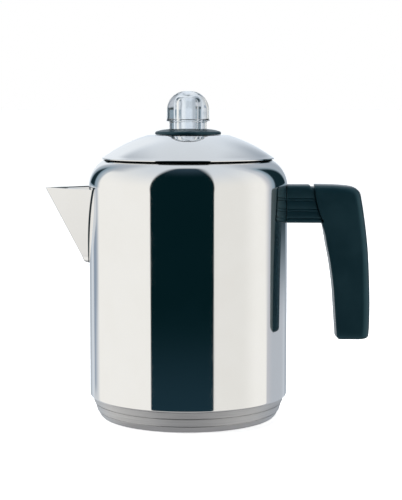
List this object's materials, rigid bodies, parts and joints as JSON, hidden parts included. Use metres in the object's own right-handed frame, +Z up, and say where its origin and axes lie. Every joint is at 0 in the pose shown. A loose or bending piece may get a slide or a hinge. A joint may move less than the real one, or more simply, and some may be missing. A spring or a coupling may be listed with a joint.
{
  "type": "coffee percolator",
  "caption": "Stovetop coffee percolator: polished steel pot with folded spout, domed lid, clear sight knob, black handle, and a lift-out pump and basket.",
  "frame": {"origin": "centre of the base's flat resting face", "axes": "+Z up, the spout along -X, the handle along +X"},
  "size_m": [0.2097, 0.128, 0.2098],
  "materials": {
    "polished_steel": "mirror-polished stainless steel",
    "satin_steel": "satin stainless steel",
    "core_aluminium": "plain, hidden in the base",
    "black_plastic": "matt black heat-proof plastic",
    "clear_plastic": "clear, glossy"
  },
  "bodies": {
    "pot": {"body_shell": "polished_steel", "base_cap": "satin_steel", "heat_core": "core_aluminium", "pour_spout": "polished_steel", "handle_bracket": "satin_steel", "handle_arm": "black_plastic", "handle_grip": "black_plastic", "handle_screw": "satin_steel", "handle_washer": "satin_steel", "screw_plug": "black_plastic"},
    "pump": {"pump_tube": "satin_steel", "pump_foot": "satin_steel", "valve_seat": "satin_steel", "basket_stop": "satin_steel"},
    "valve": {"valve_disc": "satin_steel"},
    "basket": {"basket_cup": "satin_steel", "basket_sleeve": "satin_steel"},
    "cover": {"basket_cover": "satin_steel"},
    "lid": {"lid_dome": "polished_steel", "lid_skirt": "satin_steel", "knob_collar": "black_plastic"},
    "knob": {"sight_knob": "clear_plastic"}
  },
  "joints": [
    {"name": "pump_lift", "type": "slide", "parent": "pot", "child": "pump", "axis": [0, 0, 1], "range_m": [0, 0.175]},
    {"name": "valve_lift", "type": "slide", "parent": "pump", "child": "valve", "axis": [0, 0, 1], "range_m": [0, 0.0025]},
    {"name": "basket_lift", "type": "slide", "parent": "pump", "child": "basket", "axis": [0, 0, 1], "range_m": [0, 0.075]},
    {"name": "cover_lift", "type": "slide", "parent": "basket", "child": "cover", "axis": [0, 0, 1], "range_m": [0, 0.03]},
    {"name": "lid_lift", "type": "slide", "parent": "cover", "child": "lid", "axis": [0, 0, 1], "range_m": [0, 0.06]},
    {"name": "knob_turn", "type": "hinge", "parent": "lid", "child": "knob", "pos_m": [0, 0, 0.1841], "axis": [0, 0, 1], "range_deg": [0, 60]}
  ]
}
